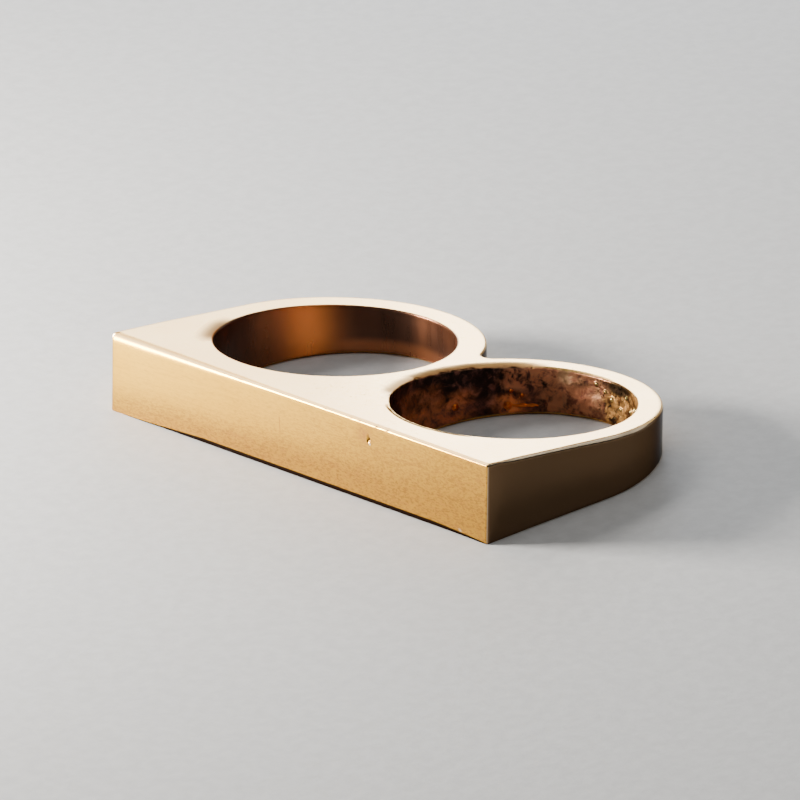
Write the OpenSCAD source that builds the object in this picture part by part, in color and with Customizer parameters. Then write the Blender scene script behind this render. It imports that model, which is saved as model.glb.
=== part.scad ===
// A cast metal ring for two fingers: a straight, flat front bar over the
// knuckles, with a round band behind it for each finger. It lies on its side on
// its flat underside. X runs along the front bar, the front face looks to -Y,
// the bands bend round at +Y, and +Z is up. The origin is at the middle of the
// footprint, at the height of the underside. Millimetres.

/* [Front bar] */
// Width of the front bar, from one side face to the other
bar_w = 40.5; // [38.5:0.5:42]
// Height of the front face
bar_h = 5.85; // [5:0.05:6.5]
// Radius of the two upright corners of the bar
corner_r = 0.4; // [0.35:0.05:0.8]

/* [Finger bands] */
// Diameter of each finger hole
finger_d = 17.3; // [16.3:0.1:17.9]
// Distance between the axes of the two finger holes
finger_pitch = 19; // [18.6:0.1:19.6]
// Distance from the front face back to the axes of the finger holes
finger_back = 11.2; // [10.8:0.1:11.6]
// How far the pair of bands sits to the right of the middle of the bar
pair_shift = 0.85; // [0:0.05:0.9]
// Wall of the left band, round its back
left_wall = 2.15; // [1.9:0.05:2.2]
// Wall of the right band, round its back
right_wall = 1.85; // [1.6:0.05:1.9]
// Radius at the bottom of the notch between the two bands
notch_r = 0.85; // [0.4:0.05:1.2]

/* [Section] */
// Angle between the top face and the underside, in degrees: the ring is thickest at the front bar
taper = 7; // [4:0.5:8]
// Bevel along the outer edge of the top face
top_bevel = 0.3; // [0.1:0.05:0.3]
// Bevel at the upper rim of each finger hole
rim_bevel = 0.2; // [0.1:0.05:0.3]
// Easing along the outer edge of the underside
foot_ease = 0.3; // [0.1:0.05:0.4]
// Easing at the lower rim of each finger hole
foot_rim = 0.5; // [0.2:0.05:0.6]

/* [Hidden] */

$fn = 128;
// Reach of the cutting blocks past the metal
far = 60;
// How far the blank reaches below the underside before it is cut flat
below = 2;
// Radii and centres, seen along the finger holes: x across, y back from the front face
hole_r = finger_d / 2;
left_r = hole_r + left_wall;
right_r = hole_r + right_wall;
left_c = [pair_shift - finger_pitch / 2, finger_back];
right_c = [pair_shift + finger_pitch / 2, finger_back];
// A length along y in the outline is longer by this factor on the sloping underside
slope = 1 / cos(taper);

// Direction in degrees of the side face that runs from the bar's corner at p to
// touch the band with centre c and radius r: s is 1 for the right side, -1 for the left
function side_dir(p, c, r, s) =
    atan2(c.y - p.y, c.x - p.x) - s * asin(r / norm(c - p));
// The point where that side face touches the band
function side_end(p, c, r, s) =
    p + sqrt(pow(norm(c - p), 2) - r * r) * [cos(side_dir(p, c, r, s)), sin(side_dir(p, c, r, s))];
// Distance from the bar's sharp corner to where its rounding begins
function corner_run(a, s) = corner_r / tan((s > 0 ? 180 - a : a) / 2);
// The centre of the notch's radius, which touches both bands from outside
function notch_at(rl, rr) =
    let (d = finger_pitch,
         x = (d * d + rl * rl - rr * rr) / (2 * d))
    left_c + [x, sqrt(rl * rl - x * x)];

left_p = [-bar_w / 2, 0];
right_p = [bar_w / 2, 0];
left_a = side_dir(left_p, left_c, left_r, -1);
right_a = side_dir(right_p, right_c, right_r, 1);
left_t = side_end(left_p, left_c, left_r, -1);
right_t = side_end(right_p, right_c, right_r, 1);
left_run = corner_run(left_a, -1);
right_run = corner_run(right_a, 1);
left_corner = [left_p.x + left_run, corner_r];
right_corner = [right_p.x - right_run, corner_r];
notch_c = notch_at(left_r + notch_r, right_r + notch_r);

// Middle of the footprint, which the origin is moved to
mid_x = (left_corner.x - corner_r + right_c.x + right_r) / 2;
mid_y = (foot_ease * tan(taper) / (1 + tan(taper))
         + (finger_back + left_r) * cos(taper) + (bar_h - top_bevel) * sin(taper)) / 2;

// The same point of the outline where it lies on the flat underside
function on_foot(p) = [p.x, p.y * slope];

// A block that cuts away all that lies outside a 45 degree bevel. The edge runs
// through p at height z in the direction a, with the metal on its left
module bevel_block(p, a, z) {
    translate([p.x, p.y, z]) rotate([0, 0, a]) rotate([45, 0, 0])
        translate([-far, -far / 2, 0]) cube([2 * far, far, far / 2]);
}

// The same for an edge on the underside, where the bevel opens downwards
module foot_block(p, a) {
    translate([p.x, p.y, 0]) rotate([0, 0, a]) translate([0, foot_ease, 0]) rotate([-45, 0, 0])
        translate([-far, -far / 2, -far / 2]) cube([2 * far, far, far / 2]);
}

// A round blank, bevelled at its top edge
module round_blank(c, r) {
    translate([c.x, c.y, 0]) rotate_extrude()
        polygon([[0, -below], [r, -below], [r, bar_h - top_bevel], [r - top_bevel, bar_h], [0, bar_h]]);
}

// The front bar as far back as the axes of the finger holes
module bar_blank() {
    difference() {
        translate([0, 0, -below]) linear_extrude(height = bar_h + below)
            polygon([
                [left_corner.x, 0], [right_corner.x, 0], right_corner,
                right_p + right_run * [cos(right_a), sin(right_a)], right_t, right_c,
                left_c, left_t, left_p + left_run * [cos(left_a), sin(left_a)], left_corner
            ]);
        bevel_block(left_p, 0, bar_h - top_bevel);
        bevel_block(right_p, right_a, bar_h - top_bevel);
        bevel_block(left_p, left_a + 180, bar_h - top_bevel);
    }
}

// The metal between the two bands behind the axes, up to the notch
module notch_blank() {
    difference() {
        translate([0, 0, -below]) linear_extrude(height = bar_h + below)
            polygon([left_c, right_c, notch_c]);
        translate([notch_c.x, notch_c.y, 0]) rotate_extrude()
            polygon([[0, -below - 1], [notch_r, -below - 1], [notch_r, bar_h - top_bevel],
                     [notch_r + top_bevel + 1, bar_h + 1], [0, bar_h + 1]]);
    }
}

// A finger hole with its bevelled upper rim
module finger_hole(c) {
    translate([c.x, c.y, 0]) rotate_extrude()
        polygon([[0, -below - 1], [hole_r, -below - 1], [hole_r, bar_h - rim_bevel],
                 [hole_r + rim_bevel + 1, bar_h + 1], [0, bar_h + 1]]);
}

// All above the flat underside and inside its eased outer edge, which opens
// upwards at 45 degrees
module foot_limit() {
    reach = 12;
    for (b = [[left_c, left_r], [right_c, right_r]])
        translate([b[0].x, b[0].y * slope, 0])
            cylinder(h = reach, r1 = b[1] - foot_ease, r2 = b[1] - foot_ease + reach);
    difference() {
        linear_extrude(height = reach)
            polygon([[left_p.x - reach, -reach], [right_p.x + reach, -reach],
                     on_foot(right_t) + reach * [sin(right_a), -cos(right_a)], on_foot(right_c),
                     on_foot(left_c), on_foot(left_t) + reach * [-sin(left_a), cos(left_a)]]);
        foot_block(left_p, 0);
        foot_block(right_p, atan2(right_t.y * slope, right_t.x - right_p.x));
        foot_block(left_p, atan2(left_t.y * slope, left_t.x - left_p.x) + 180);
    }
    difference() {
        linear_extrude(height = reach)
            polygon([on_foot(left_c), on_foot(right_c), on_foot(notch_c)]);
        translate([notch_c.x, notch_c.y * slope, 0])
            cylinder(h = notch_r + foot_ease, r1 = notch_r + foot_ease, r2 = 0);
    }
}

// The eased lower rim of a finger hole
module foot_rim_cut(c) {
    translate([c.x, c.y * slope, 0]) rotate_extrude()
        polygon([[0, -1], [hole_r + foot_rim + 1, -1], [hole_r - 1, foot_rim + 1], [0, foot_rim + 1]]);
}

module two_finger_ring() {
    color([0.80, 0.62, 0.38])
    translate([-mid_x, -mid_y, 0]) difference() {
        intersection() {
            rotate([-taper, 0, 0]) difference() {
                union() {
                    bar_blank();
                    notch_blank();
                    round_blank(left_c, left_r);
                    round_blank(right_c, right_r);
                }
                finger_hole(left_c);
                finger_hole(right_c);
            }
            foot_limit();
        }
        foot_rim_cut(left_c);
        foot_rim_cut(right_c);
    }
}

two_finger_ring();
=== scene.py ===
import math

import bpy
import numpy as np
from mathutils import Matrix, Quaternion, Vector
from mathutils.geometry import delaunay_2d_cdt


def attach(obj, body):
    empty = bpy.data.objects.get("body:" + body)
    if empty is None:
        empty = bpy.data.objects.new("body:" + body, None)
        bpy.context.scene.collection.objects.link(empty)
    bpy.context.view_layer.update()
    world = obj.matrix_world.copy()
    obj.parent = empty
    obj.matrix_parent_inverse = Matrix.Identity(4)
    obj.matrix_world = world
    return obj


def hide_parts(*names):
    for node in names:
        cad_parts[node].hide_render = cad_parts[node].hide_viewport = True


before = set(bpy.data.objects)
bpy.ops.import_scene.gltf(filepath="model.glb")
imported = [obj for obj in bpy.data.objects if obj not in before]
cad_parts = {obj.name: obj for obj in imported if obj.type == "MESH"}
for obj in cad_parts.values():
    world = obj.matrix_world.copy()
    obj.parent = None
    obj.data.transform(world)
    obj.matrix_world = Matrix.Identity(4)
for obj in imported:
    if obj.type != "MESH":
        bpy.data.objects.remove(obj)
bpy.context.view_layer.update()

# ---------------------------------------------------------------- measurements
# Millimetres, in the ring's own axes: x along the front bar, y back from the
# front face, z along the finger holes. The underside slopes by TAPER in these.
TAPER = math.radians(7)
CB, SB, TB = math.cos(TAPER), math.sin(TAPER), math.tan(TAPER)
HIGH = 5.85
HALF_BAR = 20.25
HOLE = 8.65
LEFT_C, LEFT_R = np.array([-8.65, 11.2]), 10.8
RIGHT_C, RIGHT_R = np.array([10.35, 11.2]), 10.5
NOTCH_R = 0.85
FOOT_EASE = 0.3


def side_angle(p, c, r, s):
    d = c - p
    return math.atan2(d[1], d[0]) - s * math.asin(r / math.hypot(*d))


LEFT_P, RIGHT_P = np.array([-HALF_BAR, 0.0]), np.array([HALF_BAR, 0.0])
LEFT_A = side_angle(LEFT_P, LEFT_C, LEFT_R, -1)
RIGHT_A = side_angle(RIGHT_P, RIGHT_C, RIGHT_R, 1)
LEFT_D = np.array([math.cos(LEFT_A), math.sin(LEFT_A)])
RIGHT_D = np.array([math.cos(RIGHT_A), math.sin(RIGHT_A)])
LEFT_N = np.array([-LEFT_D[1], LEFT_D[0]])
RIGHT_N = np.array([RIGHT_D[1], -RIGHT_D[0]])
LEFT_T = LEFT_C + LEFT_R * LEFT_N
RIGHT_T = RIGHT_C + RIGHT_R * RIGHT_N
PITCH = RIGHT_C[0] - LEFT_C[0]
nl, nr = LEFT_R + NOTCH_R, RIGHT_R + NOTCH_R
nx = (PITCH**2 + nl**2 - nr**2) / (2 * PITCH)
NOTCH_C = LEFT_C + np.array([nx, math.sqrt(nl**2 - nx**2)])
CORNER_RUN = 0.4 / math.tan(LEFT_A / 2)
MID_X = (-HALF_BAR + CORNER_RUN - 0.4 + RIGHT_C[0] + RIGHT_R) / 2
MID_Y = (FOOT_EASE * TB / (1 + TB) + (11.2 + LEFT_R) * CB + (HIGH - 0.3) * SB) / 2


def to_world(p):
    """Ring's own millimetres to the row's metres."""
    return (
        np.stack(
            [
                p[:, 0] - MID_X,
                p[:, 1] * CB + p[:, 2] * SB - MID_Y,
                -p[:, 1] * SB + p[:, 2] * CB,
            ],
            1,
        )
        * 0.001
    )


# ----------------------------------------------------------------------- noise
TABLE = np.random.RandomState(20).permutation(256)
TABLE = np.concatenate([TABLE, TABLE, TABLE])
GRADS = np.random.RandomState(21).normal(size=(256, 3))
GRADS /= np.linalg.norm(GRADS, axis=1)[:, None]


def noise(p, size, seed=0.0):
    """Gradient noise, about -1 to 1, with lumps about `size` millimetres apart."""
    q = p / size + np.array([17.3, 5.1, 9.7]) * (1 + seed)
    i = np.floor(q).astype(int)
    f = q - i
    w = f * f * f * (f * (f * 6 - 15) + 10)
    total = 0
    for dx in (0, 1):
        for dy in (0, 1):
            for dz in (0, 1):
                h = TABLE[
                    TABLE[TABLE[(i[:, 0] + dx) & 255] + ((i[:, 1] + dy) & 255)]
                    + ((i[:, 2] + dz) & 255)
                ]
                g = GRADS[h & 255]
                off = f - np.array([dx, dy, dz])
                k = (
                    (w[:, 0] if dx else 1 - w[:, 0])
                    * (w[:, 1] if dy else 1 - w[:, 1])
                    * (w[:, 2] if dz else 1 - w[:, 2])
                )
                total = total + k * (g * off).sum(1)
    return total * 1.6


def ease(t):
    t = np.clip(t, 0, 1)
    return t * t * (3 - 2 * t)


def band(v, lo, hi, soft):
    """1 between lo and hi, falling to 0 over `soft` outside them."""
    return ease((v - lo + soft) / soft) * ease((hi + soft - v) / soft)


def turn(a, centre):
    """Difference of two angles in degrees, -180 to 180."""
    return (a - centre + 180) % 360 - 180


# ------------------------------------------------------------- the metal's body
def both(a, b, r):
    """Inside both, with the edge between them rounded to radius r."""
    return np.minimum(-r, np.maximum(a, b)) + np.hypot(
        np.maximum(a + r, 0), np.maximum(b + r, 0)
    )


def edge(a, b, w, r):
    """Inside both, with a bevel of leg w whose own edges are rounded to r."""
    c = (a + b + w) / math.sqrt(2)
    return both(both(a, c, r), b, r)


def outline(x, y, corner):
    """Signed distance from the outline, negative in the metal."""
    left = x < NOTCH_C[0]
    sl = (x - LEFT_P[0]) * LEFT_N[0] + (y - LEFT_P[1]) * LEFT_N[1]
    sr = (x - RIGHT_P[0]) * RIGHT_N[0] + (y - RIGHT_P[1]) * RIGHT_N[1]
    al = (x - LEFT_T[0]) * LEFT_D[0] + (y - LEFT_T[1]) * LEFT_D[1]
    ar = (x - RIGHT_T[0]) * RIGHT_D[0] + (y - RIGHT_T[1]) * RIGHT_D[1]
    dl = np.hypot(x - LEFT_C[0], y - LEFT_C[1]) - LEFT_R
    dr = np.hypot(x - RIGHT_C[0], y - RIGHT_C[1]) - RIGHT_R
    g = np.where(left, np.where(al < 0, sl, dl), np.where(ar < 0, sr, dr))
    # The fillet at the bottom of the notch, in the sector that it covers
    vx, vy = x - NOTCH_C[0], y - NOTCH_C[1]
    lx, ly = LEFT_C - NOTCH_C
    rx, ry = RIGHT_C - NOTCH_C
    inside = (lx * vy - ly * vx > 0) & (vx * ry - vy * rx > 0)
    inside &= np.hypot(vx, vy) < 4
    g = np.where(inside, NOTCH_R - np.hypot(vx, vy), g)
    return both(0.026 - y, g + 0.006, corner)


def top_drop(x, y):
    """How far the hand-finished top lies below the highest plane."""
    p = np.stack([x, y, np.zeros_like(x)], 1)
    d = 0.03 + 0.010 * noise(p, 6.0, 1) + 0.004 * noise(p, 2.2, 2)
    # Rolled-in rim of the right hole, towards the notch
    e = np.hypot(x - RIGHT_C[0], y - RIGHT_C[1]) - HOLE
    a = np.degrees(np.arctan2(y - RIGHT_C[1], x - RIGHT_C[0]))
    rag = noise(p, 1.1, 3)
    m = np.maximum(band(turn(a, 164), -26, 18, 18), 0.5 * band(turn(a, -163), -12, 16, 14))
    d = d + m * 0.20 * ease(1 - e / (1.10 + 0.12 * rag)) ** 1.5
    el = np.hypot(x - LEFT_C[0], y - LEFT_C[1]) - HOLE
    al = np.degrees(np.arctan2(y - LEFT_C[1], x - LEFT_C[0]))
    d = d + 0.05 * band(turn(al, -146), -8, 8, 12) * ease(1 - el / 1.5) ** 1.3
    m = band(turn(a, 116), -24, 22, 14)
    d = d + m * (0.07 + 0.04 * rag) * ease(1 - e / 0.40) ** 2
    return d


def foot_lift(x, y):
    """The underside stands clear of the floor along the middle of the front."""
    return 0.03 * band(x, -12.5, 16.0, 4.0) * ease(1 - y / 1.5) ** 0.7


def body(p, k):
    """Signed distance from the metal at points p, with each one's edge sizes k."""
    x, y, z = p[:, 0], p[:, 1], p[:, 2]
    top = z - HIGH + top_drop(x, y)
    foot = y * SB - z * CB + foot_lift(x, y)
    out = outline(x, y, k["corner"])
    f = both(edge(out, top, k["w"], k["r"]), foot, k["foot"])
    h1 = HOLE - np.hypot(x - LEFT_C[0], y - LEFT_C[1])
    h2 = HOLE - np.hypot(x - RIGHT_C[0], y - RIGHT_C[1])
    f1 = both(edge(h1, top, k["w"], k["r"]), foot, k["foot"])
    f2 = both(edge(h2, top, k["w"], k["r"]), foot, k["foot"])
    return np.where(k["part"] == 0, f, np.where(k["part"] == 1, f1, f2))


def slope(p, k, h=2e-4):
    g = np.empty_like(p)
    for i in range(3):
        s = np.zeros(3)
        s[i] = h
        g[:, i] = (body(p + s, k) - body(p - s, k)) / (2 * h)
    return g


# ---------------------------------------------------------------- mesh columns
def divide(length, gap):
    """Fractions along a length whose spacing follows gap(s), end left out."""
    s = np.linspace(0, length, 8001)
    g = 1 / gap(s)
    c = np.concatenate([[0], np.cumsum((g[1:] + g[:-1]) / 2 * np.diff(s))])
    n = int(round(c[-1]))
    return np.interp(np.arange(n) * c[-1] / n, c, s) / length


def front_gap(s):
    x = s - HALF_BAR
    g = np.full_like(s, 0.22)
    g = np.where((x > 2.7) & (x < 10.3), 0.10, g)
    for c, w, v in ((7.78, 0.32, 0.045), (-5.97, 0.3, 0.09), (-1.73, 0.2, 0.09)):
        g = np.minimum(g, v + np.maximum(0, np.abs(x - c) - w) * 0.4)
    near = np.minimum(s, 2 * HALF_BAR - s)
    return np.minimum(g, 0.035 + near * 0.16)


def side_gap(length):
    return lambda s: np.minimum(0.34, 0.035 + np.minimum(s, 99) * 0.14)


right_len = math.hypot(*(RIGHT_T - RIGHT_P))
left_len = math.hypot(*(LEFT_T - LEFT_P))
to_notch_r = math.atan2(*(NOTCH_C - RIGHT_C)[::-1])
to_notch_l = math.atan2(*(NOTCH_C - LEFT_C)[::-1])
right_a0 = math.atan2(RIGHT_N[1], RIGHT_N[0])
left_a1 = math.atan2(LEFT_N[1], LEFT_N[0])
notch_a0 = to_notch_r - math.pi
notch_a1 = to_notch_l - math.pi
if notch_a1 > notch_a0:
    notch_a1 -= 2 * math.pi

t_front = divide(2 * HALF_BAR, front_gap)
t_right = divide(right_len, side_gap(right_len))
t_rarc = np.arange(118) / 118
t_notch = np.arange(14) / 14
t_larc = np.arange(96) / 96
t_left = 1 - divide(left_len, side_gap(left_len))[::-1]
t_left = np.concatenate([[0], t_left[:-1]]) if t_left[0] > 1e-9 else t_left
KIND = np.concatenate(
    [
        np.full(len(t), i)
        for i, t in enumerate((t_front, t_right, t_rarc, t_notch, t_larc, t_left))
    ]
)
T = np.concatenate([t_front, t_right, t_rarc, t_notch, t_larc, t_left])


def inset(d):
    """The outline moved into the metal by d at each column."""
    d = np.broadcast_to(np.asarray(d, float), T.shape)
    ar = np.stack(
        [HALF_BAR - d * (1 - math.cos(RIGHT_A)) / math.sin(RIGHT_A), d], 1
    )
    al = np.stack(
        [-HALF_BAR + d * (1 + math.cos(LEFT_A)) / math.sin(LEFT_A), d], 1
    )
    tr = RIGHT_T - d[:, None] * RIGHT_N
    tl = LEFT_T - d[:, None] * LEFT_N
    t = T[:, None]

    def arc(c, r, a0, a1):
        a = a0 + (a1 - a0) * T
        return c + r[:, None] * np.stack([np.cos(a), np.sin(a)], 1)

    ways = (
        al + (ar - al) * t,
        ar + (tr - ar) * t,
        arc(RIGHT_C, RIGHT_R - d, right_a0, to_notch_r),
        arc(NOTCH_C, NOTCH_R + d, notch_a0, notch_a1),
        arc(LEFT_C, LEFT_R - d, to_notch_l, left_a1),
        tl + (al - tl) * t,
    )
    out = np.zeros((len(T), 2))
    for i, w in enumerate(ways):
        out[KIND == i] = w[KIND == i]
    return out


rim = inset(0)
cols = len(T)
x0, y0 = rim[:, 0], rim[:, 1]
on_front = KIND == 0
ang_r = np.degrees(np.arctan2(y0 - RIGHT_C[1], x0 - RIGHT_C[0]))
# Bevel leg, rounding of its edges, foot rounding and upright corner by column
w_out = np.where(on_front, 0.02, 0.0)
r_out = np.where(on_front, 0.20 + 0.27 * ease((-x0 + 4) / 24), 0.0)
side_w = 0.02 + 0.17 * ease(y0 / 2.4) + 0.05 * ease((y0 - 5) / 6)
right_side = (KIND == 1) | ((KIND == 2) & (x0 > RIGHT_C[0]))
fade = np.where(KIND == 2, ease((ang_r - 12) / 32), 0)
w_out = np.where(right_side, side_w * (1 - fade) + 0.03 * fade, w_out)
r_out = np.where(
    right_side, (0.19 - 0.14 * ease(y0 / 1.6)) * (1 - fade) + 0.17 * fade, r_out
)
rest = ~(on_front | right_side)
w_out = np.where(rest, 0.03, w_out)
r_out = np.where(rest, 0.17, r_out)
left_near = (KIND == 5) & (y0 < 5)
r_out = np.where(left_near, 0.17 + 0.11 * ease(1 - y0 / 5), r_out)
foot_out = np.where(
    on_front, 0.10 + 0.03 * band(x0, -15, 17.5, 3), 0.10 + 0.12 * ease(y0 / 5)
)
foot_out = np.where(KIND == 3, 0.22, foot_out)
corner = np.where(x0 < 0, 0.42, 0.16)


def extent(w, r):
    """How far from the sharp edge its bevel and rounding reach."""
    return w + r * (0.6 + 0.4 * np.exp(-((w / 0.08) ** 2)))


reach = extent(w_out, r_out)

U = np.array([0, 0.12, 0.26, 0.41, 0.56, 0.7, 0.84, 1.0, 1.14])


def outer_rows():
    rows = []
    extra = [0.55, 0.36, 0.22, 0.11]
    for e in extra:
        rows.append((reach * 1.14 + e, None, "top"))
    for u in U[::-1]:
        rows.append((reach * u, None, "top"))
    for u in U[1:]:
        rows.append((0 * reach, HIGH - reach * u, "wall"))
    for e in extra[::-1]:
        rows.append((0 * reach, HIGH - reach * 1.14 - e, "wall"))
    low = y0 * TB
    a = HIGH - reach * 1.14 - 0.55
    b = low + foot_out * 1.14 + 0.4
    # Closer rows on the front bar where the casting pit is
    f = divide(1.0, lambda s: 0.052 - 0.040 * np.exp(-(((s - 0.155) / 0.07) ** 2)))[1:]
    for k in f:
        rows.append((0 * reach, a + (b - a) * k, "wall"))
    for e in (0.4, 0.22, 0.1):
        rows.append((0 * reach, low + foot_out * 1.14 + e, "wall"))
    for u in U[::-1]:
        rows.append((0 * reach, low + foot_out * u, "wall"))
    for u in U[1:]:
        rows.append((foot_out * u, None, "foot"))
    for e in (0.12, 0.3, 0.55):
        rows.append((foot_out * 1.14 + e, None, "foot"))
    out = []
    for d, z, kind in rows:
        q = inset(d)
        if kind == "top":
            z = np.full(cols, HIGH)
        elif kind == "foot":
            z = q[:, 1] * TB
        out.append(np.column_stack([q, z]))
    return np.array(out)


def hole_rows(c, n, w, r, foot, mid, beyond=(0.30, 0.17, 0.08), wide=1.0):
    a = np.arange(n) * 2 * math.pi / n - math.pi / 2
    way = np.stack([np.cos(a), np.sin(a)], 1)
    reach = extent(w, r)
    rows = []
    for e in beyond:
        rows.append((reach * 1.14 + e * wide, None, "top"))
    for u in U[::-1]:
        rows.append((reach * u, None, "top"))
    for u in U[1:]:
        rows.append((0 * a, HIGH - reach * u, "wall"))
    low = (c + HOLE * way)[:, 1] * TB
    for e in (0.08, 0.17):
        rows.append((0 * a, HIGH - reach * 1.14 - e, "wall"))
    top, bottom = HIGH - reach * 1.14 - 0.17, low + foot * 1.14 + 0.1
    for k in np.arange(1, mid) / mid:
        rows.append((0 * a, top + (bottom - top) * k, "wall"))
    rows.append((0 * a, bottom, "wall"))
    for u in U[::-1]:
        rows.append((0 * a, low + foot * u, "wall"))
    for u in U[1:]:
        rows.append((foot * u, None, "foot"))
    for e in (0.1, 0.24):
        rows.append((foot * 1.14 + e, None, "foot"))
    out = []
    for e, z, kind in rows:
        q = c + (HOLE + e)[:, None] * way
        if kind == "top":
            z = np.full(n, HIGH)
        elif kind == "foot":
            z = q[:, 1] * TB
        out.append(np.column_stack([q, z]))
    return np.array(out), np.degrees(a)


def spread(v, rows):
    return np.tile(v, rows)


outer = outer_rows()
parts = [
    dict(
        grid=outer, w=w_out, r=r_out, foot=foot_out, corner=corner, part=0, flip=False
    )
]
N1, N2 = 270, 400
a1 = np.arange(N1) * 360 / N1 - 90
w1 = np.full(N1, 0.03)
r1 = 0.07 + 0.05 * band(turn(a1, -100), -50, 60, 30)
g1, _ = hole_rows(LEFT_C, N1, w1, r1, np.full(N1, 0.38), 22)
parts.append(
    dict(
        grid=g1,
        w=w1,
        r=r1,
        foot=np.full(N1, 0.38),
        corner=np.full(N1, 0.1),
        part=1,
        flip=True,
    )
)
a2 = np.arange(N2) * 360 / N2 - 90
w2 = 0.02 + 0.09 * band(turn(a2, -95), -22, 26, 14)
r2 = 0.08 - 0.03 * band(turn(a2, -95), -22, 26, 14)
wide2 = 0.62 + 0.38 * band(turn(a2, 172), -32, 45, 16)
g2, _ = hole_rows(
    RIGHT_C,
    N2,
    w2,
    r2,
    np.full(N2, 0.38),
    36,
    (0.92, 0.74, 0.58, 0.44, 0.32, 0.21, 0.13, 0.06),
    wide2,
)
parts.append(
    dict(
        grid=g2,
        w=w2,
        r=r2,
        foot=np.full(N2, 0.38),
        corner=np.full(N2, 0.1),
        part=2,
        flip=True,
    )
)

verts, quads, keys = [], [], {k: [] for k in ("w", "r", "foot", "corner", "part")}
first_rows, last_rows = [], []
start = 0
for p in parts:
    rows_n, n = p["grid"].shape[:2]
    verts.append(p["grid"].reshape(-1, 3))
    for k in ("w", "r", "foot", "corner"):
        keys[k].append(spread(p[k], rows_n))
    keys["part"].append(np.full(rows_n * n, p["part"]))
    i = np.arange(rows_n - 1)[:, None] * n
    j = np.arange(n)[None, :]
    j1 = (j + 1) % n
    q = np.stack([i + j, i + n + j, i + n + j1, i + j1], -1).reshape(-1, 4) + start
    quads.append(q[:, ::-1] if p["flip"] else q)
    first_rows.append(np.arange(n) + start)
    last_rows.append(np.arange(n) + start + (rows_n - 1) * n)
    start += rows_n * n
V = np.concatenate(verts)
K = {k: np.concatenate(v) for k, v in keys.items()}
for _ in range(7):
    g = slope(V, K)
    V = V - (body(V, K) / np.maximum((g * g).sum(1), 0.2))[:, None] * g
NORMAL = slope(V, K)
NORMAL /= np.linalg.norm(NORMAL, axis=1)[:, None]


# ------------------------------------------------- the middles of the two faces
def fill(loops, gap, clear):
    """Triangles between an outer loop and the hole loops, over a field of points."""
    pts = [V[l][:, :2] for l in loops]
    lo, hi = pts[0].min(0), pts[0].max(0)
    ys = np.arange(lo[1], hi[1], gap * math.sqrt(3) / 2)
    field = np.concatenate(
        [
            np.column_stack(
                [
                    np.arange(lo[0], hi[0], gap) + (gap / 2 if k % 2 else 0),
                    np.full(len(np.arange(lo[0], hi[0], gap)), yy),
                ]
            )
            for k, yy in enumerate(ys)
        ]
    )
    x, y = field[:, 0], field[:, 1]
    depth = outline(x, y, np.full(len(x), 0.1))
    h1 = np.hypot(x - LEFT_C[0], y - LEFT_C[1]) - HOLE
    h2 = np.hypot(x - RIGHT_C[0], y - RIGHT_C[1]) - HOLE
    keep = (depth < -clear[0]) & (h1 > clear[1]) & (h2 > clear[2])
    field = field[keep]
    every = np.concatenate(pts + [field])
    edges, at = [], 0
    for q in pts:
        n = len(q)
        edges += [(at + i, at + (i + 1) % n) for i in range(n)]
        at += n
    got = delaunay_2d_cdt([Vector(v) for v in every], edges, [], 0, 1e-7)
    out_v, out_f, origin = got[0], got[2], got[3]
    assert len(out_v) == len(every), (len(out_v), len(every))
    back = [o[0] for o in origin]
    tri = np.array([[back[i] for i in f] for f in out_f])
    mid = every[tri].mean(1)

    def within(m, ring):
        a, b = ring, np.roll(ring, -1, 0)
        x, y = m[:, 0][:, None], m[:, 1][:, None]
        hit = (a[:, 1] > y) != (b[:, 1] > y)
        dy = np.where(hit, b[:, 1] - a[:, 1], 1)
        xs = a[:, 0] + (y - a[:, 1]) * (b[:, 0] - a[:, 0]) / dy
        return (hit & (xs > x)).sum(1) % 2 == 1

    ok = within(mid, pts[0])
    for q in pts[1:]:
        ok &= ~within(mid, q)
    tri = tri[ok]
    a, b, c = every[tri[:, 0]], every[tri[:, 1]], every[tri[:, 2]]
    area = (b[:, 0] - a[:, 0]) * (c[:, 1] - a[:, 1]) - (b[:, 1] - a[:, 1]) * (
        c[:, 0] - a[:, 0]
    )
    tri = tri[np.abs(area) > 1e-9]
    area = area[np.abs(area) > 1e-9]
    tri[area < 0] = tri[area < 0][:, ::-1]
    return tri, field


tris = []
for loops, is_top in ((first_rows, True), (last_rows, False)):
    tri, field = fill(loops, 0.42, (1.12, 0.72, 1.28) if is_top else (1.1, 0.95, 0.95))
    ids = np.concatenate(loops + [np.arange(len(field)) + len(V)])
    tri = ids[tri]
    tris.append(tri if is_top else tri[:, ::-1])
    if is_top:
        z = HIGH - top_drop(field[:, 0], field[:, 1])
        nrm = np.tile([0, 0, 1.0], (len(field), 1))
    else:
        z = field[:, 1] * TB + foot_lift(field[:, 0], field[:, 1]) / CB
        nrm = np.tile([0, SB, -CB], (len(field), 1))
    V = np.concatenate([V, np.column_stack([field, z])])
    NORMAL = np.concatenate([NORMAL, nrm])
    for k in K:
        fillv = -1 if k == "part" else 0.1
        K[k] = np.concatenate([K[k], np.full(len(field), fillv)])

# ------------------------------------------------------- hand work and the skin
x, y, z = V.T
rad1 = np.hypot(x - LEFT_C[0], y - LEFT_C[1])
rad2 = np.hypot(x - RIGHT_C[0], y - RIGHT_C[1])
ang1 = np.degrees(np.arctan2(y - LEFT_C[1], x - LEFT_C[0]))
ang2 = np.degrees(np.arctan2(y - RIGHT_C[1], x - RIGHT_C[0]))
up = y * TB
in1 = np.where(K["part"] == 1, ease((HOLE + 0.16 - rad1) / 0.14), 0)
in2 = np.where(K["part"] == 2, ease((HOLE + 0.16 - rad2) / 0.14), 0)
front = np.where(K["part"] == 0, ease((-NORMAL[:, 1] - 0.55) / 0.35), 0)
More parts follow.
